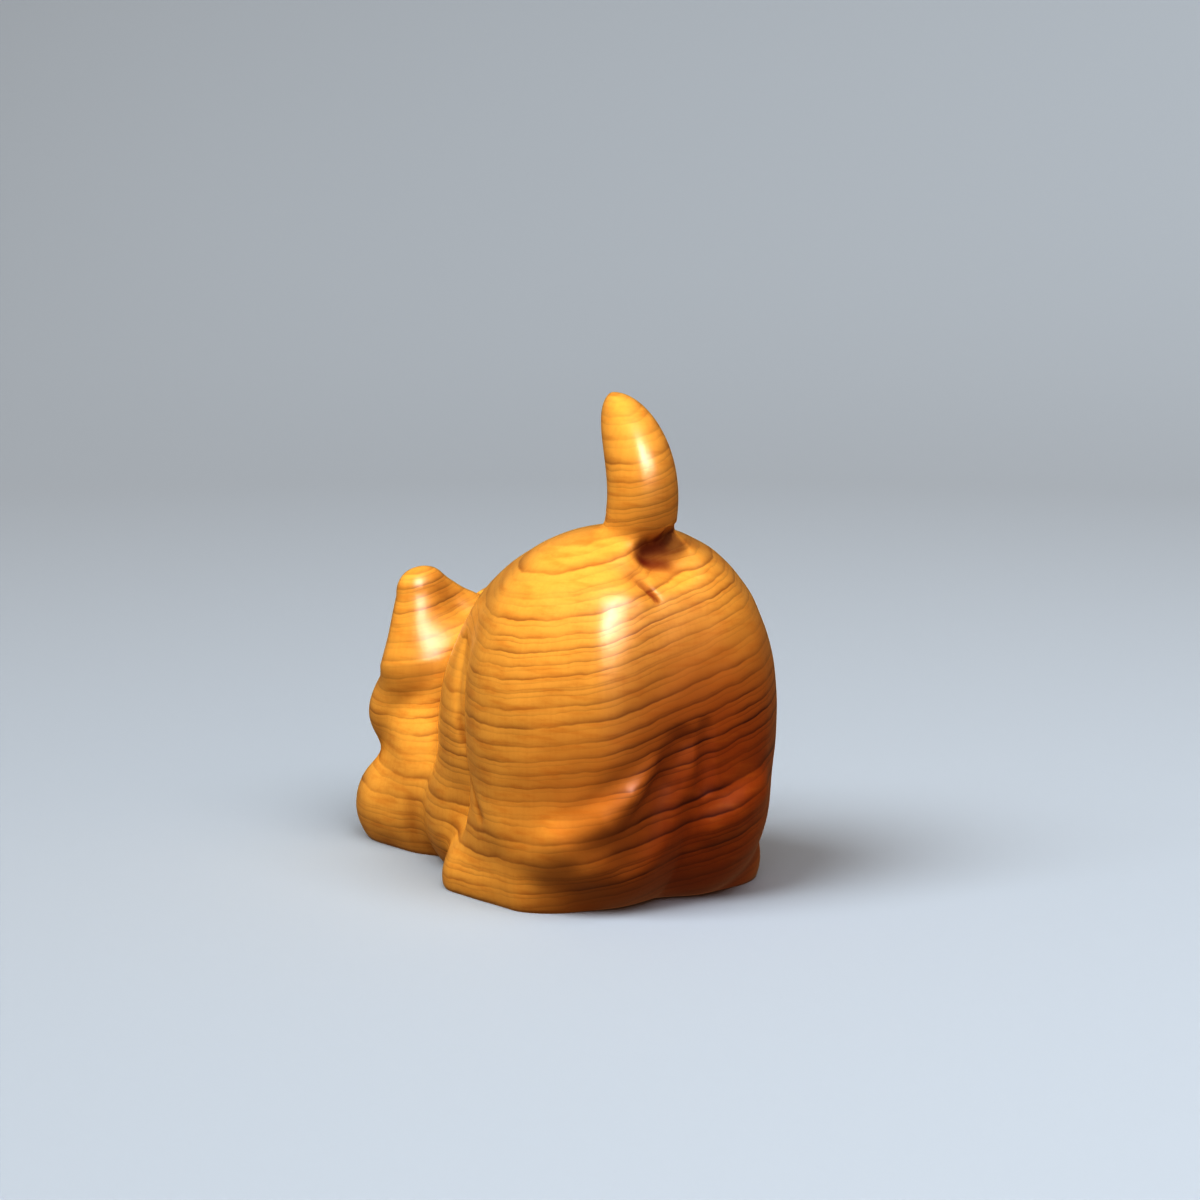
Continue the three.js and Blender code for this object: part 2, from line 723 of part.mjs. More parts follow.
// What is sawn off and drilled out of the block
const sawBlock = new THREE.BoxGeometry(2 * far, 2 * far, 2 * far);
const stumpWaste = new THREE.CylinderGeometry(2 * tailRadius, 2 * tailRadius, 2 * tailRadius, roundSides);
const dowelHole = solidOf(dowelShape(fitGap), standAt(dowelMiddle, tailAxis));
const eyeHole = new THREE.CylinderGeometry(
  eyeRadius + fitGap, eyeRadius + fitGap, 2 * (eyeDepth + fitGap), roundSides);
const cuts = [
  solidOf(sawBlock, new THREE.Matrix4().makeTranslation(0, 0, -far)),
  solidOf(stumpWaste, standAt(joint.clone().addScaledVector(tailAxis, tailRadius), tailAxis)),
  dowelHole,
  solidOf(eyeHole, eyeMatrix(1)),
  solidOf(eyeHole, eyeMatrix(-1)),
];
const bodySolid = cuts.reduce((solid, cut) => solid.subtract(cut), solidOf(skin(block, grid)));
const tailSolid = solidOf(tailGeometry()).subtract(dowelHole);

const carvedWood = new THREE.MeshStandardMaterial({ color: 0xc9822b, roughness: 0.38, metalness: 0 });
const bamboo = new THREE.MeshStandardMaterial({ color: 0xd8b878, roughness: 0.7, metalness: 0 });
const ebony = new THREE.MeshStandardMaterial({ color: 0x1c120c, roughness: 0.25, metalness: 0 });

const cat = new THREE.Group();

function add(name, geometry, material, matrix = new THREE.Matrix4()) {
  const mesh = new THREE.Mesh(geometry, material);
  mesh.name = name;
  mesh.applyMatrix4(matrix);
  cat.add(mesh);
}

add("body", geometryOf(bodySolid), carvedWood);
add("tail", geometryOf(tailSolid), carvedWood);
add("tail_dowel", dowelShape(0), bamboo, standAt(dowelMiddle, tailAxis));
add("left_eye", eyeGeometry(), ebony, eyeMatrix(1));
add("right_eye", eyeGeometry(), ebony, eyeMatrix(-1));

// The origin is on the base, under the middle of the cat's length and width
const box = new THREE.Box3().setFromObject(cat, true);
const middle = box.getCenter(new THREE.Vector3());
cat.position.set(-middle.x, -middle.y, -box.min.z);
cat.updateMatrixWorld(true);
console.log("width, length and height:", box.getSize(new THREE.Vector3()).toArray());

export default cat;
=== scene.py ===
"""The looks of a palm-sized carved wooden cat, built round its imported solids.

The body and the tail are meshed finer than the solids, from the same rounded forms with small
changes of size, and carry the knife work that the solids leave out. The forms are sized in
millimetres in the cat's own frame: it faces -Y, +Z is up and +X is its left. The meshes, the
lights and the camera are in metres.
"""

import math
from types import SimpleNamespace as Sizes

import bmesh
import bpy
import numpy as np
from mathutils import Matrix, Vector


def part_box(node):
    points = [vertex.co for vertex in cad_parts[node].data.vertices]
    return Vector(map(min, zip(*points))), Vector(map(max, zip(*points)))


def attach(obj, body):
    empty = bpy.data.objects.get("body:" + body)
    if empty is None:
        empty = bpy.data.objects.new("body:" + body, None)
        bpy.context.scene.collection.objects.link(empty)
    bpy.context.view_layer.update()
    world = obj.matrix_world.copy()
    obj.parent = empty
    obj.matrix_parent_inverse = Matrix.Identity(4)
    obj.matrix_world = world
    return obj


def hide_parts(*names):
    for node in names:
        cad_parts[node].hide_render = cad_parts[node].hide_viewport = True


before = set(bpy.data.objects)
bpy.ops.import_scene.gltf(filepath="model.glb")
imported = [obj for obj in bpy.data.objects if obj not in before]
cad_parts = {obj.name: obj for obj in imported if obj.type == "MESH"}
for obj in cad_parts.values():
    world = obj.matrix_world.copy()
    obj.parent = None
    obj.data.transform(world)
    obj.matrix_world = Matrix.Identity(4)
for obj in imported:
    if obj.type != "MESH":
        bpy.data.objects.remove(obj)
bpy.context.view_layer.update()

MM = 0.001

# Hindquarters. HIND is the broad form that trims the egg of the rump flatter behind.
RUMP = Sizes(width=35.5, length=31.4, height=42.0, y=4.5, z=19.45, fullness=2.25)
HIND = Sizes(width=80.0, length=40.0, height=49.6, inset=1.7, edge=1.2)
THIGH = Sizes(width=18.6, length=25.0, height=22.0, inset=2.6, back=1.0, z=9.0, blend=2.5)
HOCK = Sizes(radii=(1.4, 1.4, 1.3, 1.1), prouds=(0.1, 0.65, 0.85, 0.35), out_inset=5.4, out_z=8.8,
             in_x=4.4, in_z=15.4, blend=1.8)
RIGHT_HOCK = Sizes(radii=(2.0, 2.0, 2.0, 1.8), prouds=(0.05, 0.3, 0.35, 0.1), out_x=-8.8,
                   out_z=12.0, in_x=-3.6, in_z=9.2)
VALLEY = Sizes(radii=(1.0, 1.6, 2.2, 2.8), depths=(0.4, 0.9, 0.7, 0.1), in_x=1.3, in_z=18.4,
               out_x=7.2, out_z=6.2, blend=2.2)
MIDLINE = Sizes(radii=(0.8, 1.0, 1.0, 0.9), depths=(0.15, 0.45, 0.45, 0.15), x=-1.8, top=19.8,
                bottom=13.4, blend=1.0)

# Torso and chest, with a crease on the flank that fades out over the back
TORSO = Sizes(width=29.5, length=27.6, height=40.6, forward=11.9, z=15.6)
CREASE = Sizes(blend=0.6, top=22.0, back_blend=6.7, back_z=32.0)
CHEST = Sizes(width=19.0, length=18.0, height=24.0, forward=12.6, z=10.0, blend=2.0)
ELBOW = Sizes(width=13.8, length=16.4, height=15.0, inset=7.1, forward=5.0, z=5.6, blend=3.6)

# Limbs
FOOT = Sizes(heel_radius=4.6, toe_radius=4.8, length=9.5, inset=6.2, splay=1.5, back=1.9, z=1.4,
             blend=4.2)
ARM = Sizes(width=10.4, length=12.0, height=19.0, inset=0.9, forward=2.0, z=6.0, blend=2.2)
SHOULDER = Sizes(width=10.6, length=11.0, height=13.0, inset=1.6, forward=2.6, rise=4.6, blend=2.4)
PAW = Sizes(width=12.4, length=15.8, height=13.0, out=0.2, forward=6.6, z=3.9, blend=3.0)

# Head
HEAD = Sizes(width=21.6, length=20.4, height=19.6, forward=8.5, rise=8.0, blend=3.6)
CHEEK = Sizes(width=11.4, length=13.0, height=11.4, inset=3.6, drop=3.0, forward=1.0, blend=2.0)
MUZZLE = Sizes(radius=2.4, spread=1.6, length=1.2, drop=2.6, proud=1.3, depth=2.5, blend=0.8)
NOSE_RADIUS = 1.1
CHIN_RADIUS = 1.7
EAR = Sizes(base=5.6, tip=3.0, height=8.0, inset=3.4, splay=0.4, lean=0.9, sink=6.2, back=1.6,
            thinness=1.3, blend=3.0)
EAR_WEB = Sizes(radius=2.2, inset=1.2, rise=0.5, reach=4.2, drop=2.9, blend=1.0)
EAR_HOLLOW = Sizes(width=4.8, length=6.0, height=8.0, depth=1.1, blend=0.8)
EYE = Sizes(radius=1.15, proud=0.45, depth=2.4, spread=4.3, rise=1.6)

# Tail, its stump on the rump, the notch behind it and the undercut round its foot
TAIL = Sizes(radius=3.85, height=12.7, curl=6.3, back=3.5, lean=14, root_handle=5.7, fullness=2.6)
TAIL_TIP = Sizes(handle_y=3.1, handle_z=2.5, crest_turn=32, crest_power=1.3, sharpness=0.66)
STUMP = Sizes(height=1.7, blend=1.3)
NOTCH = Sizes(width=6.4, length=6.0, height=4.6, out_x=-0.3, depth=0.8, behind=2.0, blend=2.4)
UNDERCUT = Sizes(radius=1.3, out=0.1, turns=(10, -38), rises=(-0.3, 0.8), blend=1.2)
FIT_GAP = 0.25
SEAM = 0.02

# Base: the forms end in a rounded edge a little below the flat, which cuts most of it away
BASE_EASE = 0.6
SAWN_DEPTH = 0.2

# Knife work that only the fine mesh has: lines of points, each with its width and its height
SWELLS = (
    # Soft ridge down the back of the rump
    (((8.2, 14.5, 33.5), (9.0, 16.0, 30.0), (9.4, 17.1, 24.9), (9.1, 17.5, 17.8)), 3.6, 0.62),
    # Fold under the tail, which narrows downwards, and the bulge beside it
    (((5.6, 12.6, 36.6), (4.6, 13.3, 35.8)), 1.8, -0.3),
    (((4.2, 13.6, 35.6), (3.9, 13.9, 35.3)), 0.9, -0.22),
    (((3.6, 14.4, 34.9), (3.3, 14.8, 34.5)), 0.6, -0.25),
    (((3.1, 15.1, 34.2), (2.8, 15.6, 33.8)), 0.45, -0.2),
    (((5.8, 14.4, 34.2), (4.6, 15.0, 33.4)), 1.2, 0.25),
    # Fine crease ahead of the left thigh
    (((12.4, -8.6, 26.9), (14.3, -7.1, 20.5), (14.6, -5.3, 16.3), (16.6, -0.6, 12.6),
      (17.1, 3.0, 9.4)), 0.7, -0.25),
    # Fullness low on the left thigh, and behind the left heel
    (((15.4, -0.4, 8.0), (16.0, 6.4, 8.2), (14.6, 11.0, 7.2)), 3.4, 1.1),
    (((13.4, 12.6, 6.8), (11.4, 14.6, 5.6)), 2.4, 0.9),
)
WOBBLE = Sizes(depth=0.05, lengths=(13.0, 8.3), slant=0.6, twist=0.4)

# Painted shadow, dark in the cuts: lines of points, each with its width and its strength
PAINTED_SHADOWS = (
    # Undercut behind the tail
    (((2.0, 11.0, 37.2), (-0.9, 12.0, 37.1)), 1.1, 1.0),
    (((1.2, 10.8, 38.2), (-1.2, 11.0, 38.6)), 1.1, 0.95),
    (((-0.3, 10.9, 39.3), (-1.5, 10.8, 39.7)), 0.9, 0.95),
    # Fold under the tail
    (((4.6, 13.1, 36.1), (4.0, 13.8, 35.4)), 1.3, 0.28),
    (((3.9, 13.9, 35.3), (3.3, 14.7, 34.6)), 0.7, 0.5),
    (((3.2, 14.9, 34.4), (2.75, 15.6, 33.7)), 0.42, 0.9),
    # Crease ahead of the left thigh
    (((14.5, -6.4, 18.5), (14.6, -5.3, 16.3), (16.6, -0.6, 12.6), (17.1, 3.0, 9.4)), 0.55, 0.4),
    # Outer side of the left foreleg
    (((13.4, -19.8, 6.5), (13.4, -19.8, 1.5)), 1.2, 0.28),
)

# Mesh: a coarse step is BAND fine ones, and REACH holds the space that is meshed
FINE_STEP = 0.36
BAND = 4
BAND_MARGIN = 3
REACH = ((-19.5, -41.0, -1.5), (19.5, 23.0, 47.0))
SETTLING_STEPS = 3
SLOPE_STEP = 0.01
TINY = 1e-9
TAIL_RINGS = 60
TAIL_SIDES = 72
LATHE_SIDES = 48
EYE_RINGS = 12

# Walks from far off onto a shape: each step is a cautious share of the distance that is left
FAR = 100.0
WALK_STEPS = 80
WALK_CAUTION = 0.8

# Wood and other finishes. A mark comes up from nothing to full between the levels of its onset.
# The ring lines are stronger where shade is painted on the cat's right hind side than elsewhere
RINGS = Sizes(normal=(0.2561, 0.0164, 0.9665), spacing=1.754, start=-2.89,
              swings=((1.025, 0.1, 3.037), (-0.262, 0.52, 0.0)), bend=0.9, bend_scale=0.05,
              wave=0.75, wave_scale=0.28, foot=0.1, fall=4.2, weakest=0.42, patch_scale=0.12,
              patch_onset=(0.35, 0.65), in_sap=0.92, in_heart=1.7, faint=0.5, faint_rate=2.0,
              faint_start=0.6, relief=0.006)
FIBRE = Sizes(scale=(0.25, 0.25, 1.3), detail=3.0, onset=(0.45, 0.75), strength=0.35, relief=0.004)
RIPPLE = Sizes(scale=(1.6, 1.6, 0.1), onset=(0.4, 0.7), strength=0.08)
SPECKLE = Sizes(scale=3.0, onset=(0.45, 0.75), strength=0.05, relief=0.006)
# Painted shade: the wood darkens towards this middle, on the cat's right hind side, low down
SHADE_ZONE = Sizes(middle=(-6, 18, 8), start=28.0, end=8.0, drift=9.0, drift_scale=0.06)
# Painted shade in the hollows: how far out to look for a hollow, and how strongly it darkens the colour
HOLLOW_SHADE = Sizes(reaches=(0.6, 1.3, 2.6), onset=(0.16, 0.65), strength=0.75)
# Painted shade: of these colours, the second darkens the cat's right hind side, the fifth darkens the
# hollows, and the last is a shadow painted into the cuts
WOOD = Sizes(sap=(0.72, 0.44, 0.11, 1), heart=(0.42, 0.115, 0.006, 1), ring=(0.26, 0.11, 0.035, 1),
             streak=(0.55, 0.22, 0.02, 1), shade=(0.14, 0.025, 0.002, 1),
             stain=(0.22, 0.04, 0.002, 1))
WAX = Sizes(specular=0.3, coat=1.0, coat_roughness=0.32, smoothest=0.36, roughest=0.5,
            patch_onset=(0.3, 0.7), dull=0.4, hollow_onset=(0.04, 0.3), stain_onset=(0.0, 0.4))
BAMBOO = Sizes(scale=(4.0, 4.0, 0.4), detail=3.0, onset=(0.3, 0.7), roughness=0.7,
               pale=(0.72, 0.5, 0.2, 1), dark=(0.5, 0.3, 0.1, 1))
BEAD = Sizes(dark=(0.006, 0.004, 0.003, 1), brown=(0.02, 0.01, 0.006, 1), roughness=0.2, coat=0.8,
             coat_roughness=0.04, scale=0.8)

# Stage, in metres: a round pale floor that curves up into a wall. The lamps point at its middle on
# the cat, which is in millimetres. A mirrored lamp is seen only in the polish, and the others
# only light the cat.
STAGE = Sizes(middle=(0, -8, 22), floor=0.45, curve=0.85, wall=0.86, sides=96, steps=16,
              colour=(0.4, 0.46, 0.52, 1), roughness=0.8, room_colour=(1.0, 0.66, 0.4, 1),
              room_strength=0.31)
KEY = Sizes(azimuth=86, elevation=50, distance=0.6, strength=3.75, spread=40, mirrored=False)
LAMPS = (
    Sizes(name="top", azimuth=2, elevation=60, distance=0.6, width=0.5, height=0.5, power=3.25,
          tint=(1, 1, 1), mirrored=False),
    Sizes(name="bounce", azimuth=-5, elevation=6, distance=0.6, width=0.5, height=0.2, power=0.4,
          tint=(1, 0.6, 0.35), mirrored=False),
    Sizes(name="window", azimuth=14, elevation=41, distance=0.6, width=0.26, height=0.34, power=4.2,
          tint=(0.72, 0.76, 1), mirrored=True),
    Sizes(name="rose", azimuth=-12, elevation=35, distance=0.6, width=0.18, height=0.14, power=1.3,
          tint=(1, 0.82, 0.95), mirrored=True),
)
CAMERA = Sizes(azimuth=32, elevation=8.5, distance=0.3, target=(0, 0, 31.5), lens=81, near=0.01,
               gamma=0.6)


# Signed distances: each shape is a function of x, y and z arrays, and is negative inside

def lump(centre, sizes, fullness=2.0):
    """Rounded lump. A fullness of 2 is an ellipsoid, and more than that squares its shoulders."""
    a, b, c = sizes.width / 2, sizes.length / 2, sizes.height / 2

    def distance(x, y, z):
        u, v, w = x - centre[0], y - centre[1], z - centre[2]
        around = np.maximum(np.hypot(u / a, v / b), TINY)
        upright = np.abs(w / c)
        near = np.maximum((around**fullness + upright**fullness) ** (1 / fullness), TINY)
        around_slope = np.hypot(u / a**2, v / b**2) / around
        out_slope = (around / near) ** (fullness - 1)
        up_slope = (upright / near) ** (fullness - 1)
        return (near - 1) / np.hypot(out_slope * around_slope, up_slope / c)

    return distance


def rod(start, end, start_radius, end_radius):
    """Tapered rod with round ends."""
    along = np.subtract(end, start)

    def distance(x, y, z):
        u, v, w = x - start[0], y - start[1], z - start[2]
        t = np.clip((u * along[0] + v * along[1] + w * along[2]) / (along @ along), 0, 1)
        gap = np.sqrt((u - along[0] * t) ** 2 + (v - along[1] * t) ** 2 + (w - along[2] * t) ** 2)
        return gap - (start_radius + (end_radius - start_radius) * t)

    return distance


def chain(centres, radii):
    """Rods through a line of centres, from each one to the next."""
    spans = zip(centres, centres[1:], radii, radii[1:])
    rods = [rod(start, end, r, s) for start, end, r, s in spans]
    return lambda x, y, z: np.minimum.reduce([shape(x, y, z) for shape in rods])


def pair(shape):
    """A shape and its mirror image on the other side of the cat."""
    return lambda x, y, z: shape(np.abs(x), y, z)


def blended(a, b, radius):
    """The lesser of two distances, rounded where they are alike."""
    h = np.maximum(radius - np.abs(a - b), 0) / radius
    return np.minimum(a, b) - h * h * radius / 4


def join(radius, first, *others):
    """Shapes made one, with a rounded inner corner between them."""
    def distance(x, y, z):
        d = first(x, y, z)
        for shape in others:
            d = blended(d, shape(x, y, z), radius)
        return d

    return distance


def carve(radius, shape, tool):
    """A shape with a tool's shape cut out of it, and a rounded rim."""
    return lambda x, y, z: -blended(-shape(x, y, z), tool(x, y, z), radius)


def trim(radius, shape, other):
    """What two shapes share, with a rounded edge."""
    return lambda x, y, z: -blended(-shape(x, y, z), -other(x, y, z), radius)


def smoothstep(value, low, high):
    t = np.clip((value - low) / (high - low), 0, 1)
    return t * t * (3 - 2 * t)


def part_way(ends, part):
    return ends[0] + (ends[1] - ends[0]) * part


def land_on(shape, start, direction):
    """Point where a straight way first meets a shape."""
    point = np.array(start, float)
    for _ in range(WALK_STEPS):
        point += np.multiply(direction, shape(*point) * WALK_CAUTION)
    return point


def slopes(field, points):
    """Outward unit normals of a field's surface."""
    steps = np.eye(3) * SLOPE_STEP
    slope = np.stack([field(*(points + s).T) - field(*(points - s).T) for s in steps], axis=1)
    return slope / np.linalg.norm(slope, axis=1, keepdims=True)


# Places that follow from the sizes

HEEL = np.array((RUMP.width / 2 - FOOT.inset, RUMP.y + FOOT.back, FOOT.z))
TORSO_Y = RUMP.y - TORSO.forward
CHEST_Y = TORSO_Y - CHEST.forward
ARM_X = CHEST.width / 2 - ARM.inset
ARM_Y = CHEST_Y - ARM.forward
HEAD_Y = CHEST_Y - HEAD.forward
HEAD_Z = CHEST.z + HEAD.rise


# Forms of the block

def haunches():
    """Egg of the rump, flattened behind, with a thigh on each side."""
    egg = lump((0, RUMP.y, RUMP.z), RUMP, RUMP.fullness)
    hind_y = RUMP.y + RUMP.length / 2 - HIND.inset - HIND.length / 2
    hind = lump((0, hind_y, RUMP.z), HIND, RUMP.fullness)
    thigh_x = RUMP.width / 2 - THIGH.inset - THIGH.width / 2
    thigh = lump((thigh_x, RUMP.y + THIGH.back, THIGH.z), THIGH)
    return join(THIGH.blend, trim(HIND.edge, egg, hind), pair(thigh))


HAUNCHES = haunches()


def back_rod(line, radii, prouds):
    """Rod along the back of the haunches, which stands proud by a distance at each (x, z) point."""
    spots = [land_on(HAUNCHES, (x, FAR, z), (0, -1, 0)) for x, z in line]
    centres = [spot + (0, proud - radius, 0) for spot, radius, proud in zip(spots, radii, prouds)]
    return chain(centres, radii)


def groove(line, radii, depths):
    """Rod that cuts a groove in the back of the haunches, with a depth at each (x, z) point."""
    return back_rod(line, radii, [2 * radius - depth for radius, depth in zip(radii, depths)])


def between(start, end, spans=3):
    """Ends of even spans on a straight line."""
    return [tuple(np.array(start) + (np.array(end) - start) * i / spans) for i in range(spans + 1)]


def hindquarters():
    """Haunches with a ridge over each hock, a valley beside the left one and a midline groove."""
    hock_line = between((RUMP.width / 2 - HOCK.out_inset, HOCK.out_z), (HOCK.in_x, HOCK.in_z))
    hock = back_rod(hock_line, HOCK.radii, HOCK.prouds)
    right_line = between((RIGHT_HOCK.out_x, RIGHT_HOCK.out_z), (RIGHT_HOCK.in_x, RIGHT_HOCK.in_z))
    right_hock = back_rod(right_line, RIGHT_HOCK.radii, RIGHT_HOCK.prouds)
    valley_line = between((VALLEY.in_x, VALLEY.in_z), (VALLEY.out_x, VALLEY.out_z))
    valley = groove(valley_line, VALLEY.radii, VALLEY.depths)
    midline_line = between((MIDLINE.x, MIDLINE.top), (MIDLINE.x, MIDLINE.bottom))
    midline = groove(midline_line, MIDLINE.radii, MIDLINE.depths)
    ridged = join(HOCK.blend, HAUNCHES, hock, right_hock)
    return carve(MIDLINE.blend, carve(VALLEY.blend, ridged, valley), midline)


def torso():
    """Belly and chest, with an elbow on each side."""
    belly = lump((0, TORSO_Y, TORSO.z), TORSO)
    chest = lump((0, CHEST_Y, CHEST.z), CHEST)
    elbow = lump((TORSO.width / 2 - ELBOW.inset, TORSO_Y - ELBOW.forward, ELBOW.z), ELBOW)
    return join(ELBOW.blend, join(CHEST.blend, belly, chest), pair(elbow))


def trunk():
    """Hindquarters and torso, with a crease between them that fades out over the back."""
    hind, fore = hindquarters(), torso()

    def distance(x, y, z):
        fade = smoothstep(z, CREASE.top, CREASE.back_z)
        radius = part_way((CREASE.blend, CREASE.back_blend), fade)
        return blended(hind(x, y, z), fore(x, y, z), radius)

    return distance


def ear_shapes():
    """The left ear, flattened from front to back, and the hollow in its front."""
    y = HEAD_Y + EAR.back
    base = np.array((HEAD.width / 2 - EAR.inset, y, HEAD_Z + HEAD.height / 2 - EAR.sink))
    tip = base + (EAR.splay, -EAR.lean, EAR.height)
    cone = rod(base, tip, EAR.base, EAR.tip)
    web_top = tip + (-EAR_WEB.inset, 0, EAR_WEB.rise)
    web = rod(web_top, web_top + (-EAR_WEB.reach, 0, -EAR_WEB.drop), EAR_WEB.radius, EAR_WEB.radius)
    thick = join(EAR_WEB.blend, cone, web)

    def ear(px, py, pz):
        return thick(px, y + (py - y) * EAR.thinness, pz)

    middle = (base + tip) / 2
    front = land_on(ear, (middle[0], -FAR, middle[2]), (0, 1, 0))
    return ear, lump(front + (0, EAR_HOLLOW.depth - EAR_HOLLOW.length / 2, 0), EAR_HOLLOW)


def skull():
    """Head with its cheeks and ears."""
    ball = lump((0, HEAD_Y, HEAD_Z), HEAD)
    cheek_place = (HEAD.width / 2 - CHEEK.inset, HEAD_Y - CHEEK.forward, HEAD_Z - CHEEK.drop)
    cheeked = join(CHEEK.blend, ball, pair(lump(cheek_place, CHEEK)))
    ear, hollow = ear_shapes()
    return carve(EAR_HOLLOW.blend, join(EAR.blend, cheeked, pair(ear)), pair(hollow))


HEAD_FORM = skull()


def with_muzzle(head):
    """A head with two puffs, a nose and a chin."""
    z = HEAD_Z - MUZZLE.drop
    face_y = land_on(head, (MUZZLE.spread, -FAR, z), (0, 1, 0))[1]
    y = face_y - MUZZLE.proud + MUZZLE.radius
    puff_at = np.array((MUZZLE.spread, y, z))
    puff = rod(puff_at, puff_at + (MUZZLE.length, 0, 0), MUZZLE.radius, MUZZLE.radius)
    nose_at = np.array((0, face_y - MUZZLE.proud + NOSE_RADIUS, z + MUZZLE.radius))
    nose = rod(nose_at, nose_at + (0, MUZZLE.depth, NOSE_RADIUS), NOSE_RADIUS, NOSE_RADIUS)
    chin_at = np.array((0, y, z - MUZZLE.radius))
    chin = rod(chin_at, chin_at + (0, MUZZLE.depth, 0), CHIN_RADIUS, CHIN_RADIUS)
    return join(MUZZLE.blend, head, pair(puff), nose, chin)


LEAN = math.radians(TAIL.lean)
TAIL_AXIS = np.array((0, math.sin(LEAN), math.cos(LEAN)))
TAIL_ROOT = land_on(HAUNCHES, (0, RUMP.y + TAIL.back, FAR), (0, 0, -1))
JOINT = TAIL_ROOT + TAIL_AXIS * STUMP.height
TAIL_END = np.array((0, JOINT[1] - TAIL.curl, JOINT[2] + TAIL.height))


def stump():
    """Stump that the tail is glued to. Its upper end is cut off at the joint."""
    below = TAIL_ROOT - TAIL_AXIS * TAIL.radius
    above = JOINT + TAIL_AXIS * STUMP.height
    return rod(below, above, TAIL.radius, TAIL.radius)


def tail_notch():
    """Hollow behind the tail's foot."""
    y = TAIL_ROOT[1] + TAIL.radius + NOTCH.behind
    z = land_on(HAUNCHES, (NOTCH.out_x, y, FAR), (0, 0, -1))[2]
    return lump((NOTCH.out_x, y, z - NOTCH.depth + NOTCH.height / 2), NOTCH)


def undercut(spans=6):
    """Rods round the back of the tail's foot, which climb on their way from its left to its right."""
    reach = TAIL.radius + UNDERCUT.out
    centres = []
    for part in np.linspace(0, 1, spans + 1):
        turn = math.radians(part_way(UNDERCUT.turns, part))
        x, y, _ = TAIL_ROOT + (reach * math.sin(turn), reach * math.cos(turn), 0)
        floor = land_on(HAUNCHES, (x, y, FAR), (0, 0, -1))
        centres.append(floor + (0, 0, part_way(UNDERCUT.rises, part)))
    return chain(centres, [UNDERCUT.radius] * len(centres))


def nearness(line, width):
    """How near a place is to a line of points: 1 on the line, and soon 0 beyond the width."""
    thread = chain(line, [0] * len(line))
    return lambda x, y, z: np.exp(-(thread(x, y, z) / width) ** 2)


def swollen(shape):
    """A shape raised along soft-edged lines, or pressed in where the height is negative."""
    swells = [(nearness(line, width), height) for line, width, height in SWELLS]

    def distance(x, y, z):
        d = shape(x, y, z)
        for near, height in swells:
            d = d - height * near(x, y, z)
        return d

    return distance


def wobbled(shape):
    """A shape with the slight unevenness that a knife and sandpaper leave."""
    def distance(x, y, z):
        across, along = x + WOBBLE.slant * z, y - WOBBLE.twist * x
        waves = 0
        for n, length in enumerate(WOBBLE.lengths):
            k = 2 * math.pi / length
            flat = np.sin(k * across + n) * np.sin(k * along + 2 * n)
            waves = waves + flat * np.sin(k * z + n * n)
        return shape(x, y, z) + WOBBLE.depth * waves

    return distance


def block():
    """The whole carved block, sawn flat below."""
    foot = rod(HEEL, HEEL + (FOOT.splay, -FOOT.length, 0), FOOT.heel_radius, FOOT.toe_radius)
    arm = lump((ARM_X, ARM_Y, ARM.z), ARM)
    shoulder_place = (ARM_X - SHOULDER.inset, ARM_Y - SHOULDER.forward, ARM.z + SHOULDER.rise)
    shoulder = lump(shoulder_place, SHOULDER)
    paw = lump((ARM_X + PAW.out, ARM_Y - PAW.forward, PAW.z), PAW)
    crouched = join(ARM.blend, join(FOOT.blend, trunk(), pair(foot)), pair(arm))
    headed = join(HEAD.blend, crouched, with_muzzle(HEAD_FORM))
    limbed = join(PAW.blend, join(SHOULDER.blend, headed, pair(shoulder)), pair(paw))
    stumped = join(STUMP.blend, carve(NOTCH.blend, limbed, tail_notch()), stump())
    carved = carve(UNDERCUT.blend, stumped, undercut())
    return carve(BASE_EASE, wobbled(swollen(carved)), lambda x, y, z: z + SAWN_DEPTH)


# Meshing

def sampled(field, axes):
    """The field on a lattice, exact near its surface and only signed away from it."""
    rough = [axis[::BAND] for axis in axes]
    coarse = field(*(v.ravel() for v in np.meshgrid(*rough, indexing="ij")))
    coarse = coarse.reshape([len(axis) for axis in rough])
    for n, axis in enumerate(axes):
        coarse = np.repeat(coarse, BAND, axis=n)[tuple([slice(None)] * n + [slice(len(axis))])]
    near = np.abs(coarse) < BAND * FINE_STEP * BAND_MARGIN
    value = coarse.copy()
    spots = np.nonzero(near)
    value[near] = field(*(axis[spot] for axis, spot in zip(axes, spots)))
    return value


# The cells round an edge of the lattice, as steps back along the two other axes
AROUND = ((0, 0), (1, 0), (1, 1), (0, 1))


def crossings(value):
    """Where the lattice's edges cross the surface, and the cells round each of those edges."""
    inside = value < 0
    strides = np.array((value.shape[1] * value.shape[2], value.shape[2], 1))
    found = []
    for axis in range(3):
        near_side = [slice(None)] * 3
        far_side = [slice(None)] * 3
        near_side[axis] = slice(0, -1)
        far_side[axis] = slice(1, None)
        starts = np.argwhere(inside[tuple(near_side)] != inside[tuple(far_side)])
        ends = starts + np.eye(3, dtype=int)[axis]
        a, b = value[tuple(starts.T)], value[tuple(ends.T)]
        spots = starts + np.outer(a / (a - b), np.eye(3)[axis])
        u, v = (axis + 1) % 3, (axis + 2) % 3
        cells = np.stack([starts @ strides - s * strides[u] - t * strides[v] for s, t in AROUND])
        found.append((spots, np.where(a < 0, cells, cells[::-1])))
    return found


def settled(field, points):
    """Points moved onto a field's surface."""
    for _ in range(SETTLING_STEPS):
        points = points - slopes(field, points) * field(*points.T)[:, None]
    return points


